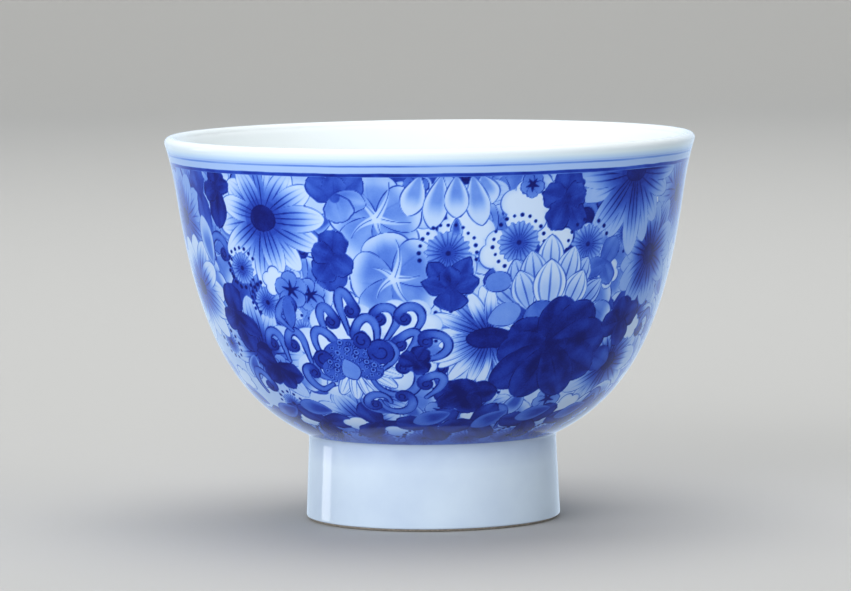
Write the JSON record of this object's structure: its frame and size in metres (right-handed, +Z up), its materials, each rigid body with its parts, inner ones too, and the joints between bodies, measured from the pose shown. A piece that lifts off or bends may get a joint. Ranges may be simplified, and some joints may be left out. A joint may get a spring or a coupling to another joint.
{
  "type": "teacup",
  "caption": "Handleless porcelain teacup: a round flaring bowl on a foot ring, painted all round with blue flowers under a clear glaze.",
  "frame": {"origin": "centre of the foot ring's standing face", "axes": "+Z up along the cup's axis of revolution; the side that faces -Y is the one that the painting's daisy and large leaf are on"},
  "size_m": [0.084, 0.084, 0.061],
  "materials": {
    "porcelain": "fired white porcelain",
    "bare_foot": "bare fired clay",
    "cobalt_painting": "underglaze cobalt painting, gloss",
    "cobalt_line": "underglaze cobalt line, gloss",
    "cobalt_line_pale": "thin underglaze cobalt line, gloss",
    "wall_glaze": "clear bluish glaze, gloss",
    "lining_glaze": "clear glaze on white, gloss",
    "foot_glaze": "clear bluish glaze, gloss",
    "recess_glaze": "clear glaze on white, gloss"
  },
  "bodies": {
    "root": {"bowl_body": "porcelain", "foot_ring": "bare_foot", "floral_painting": "cobalt_painting", "rim_line_lower": "cobalt_line", "rim_line_upper": "cobalt_line_pale", "wall_glaze": "wall_glaze", "lining_glaze": "lining_glaze", "foot_glaze": "foot_glaze", "recess_glaze": "recess_glaze"}
  },
  "joints": []
}
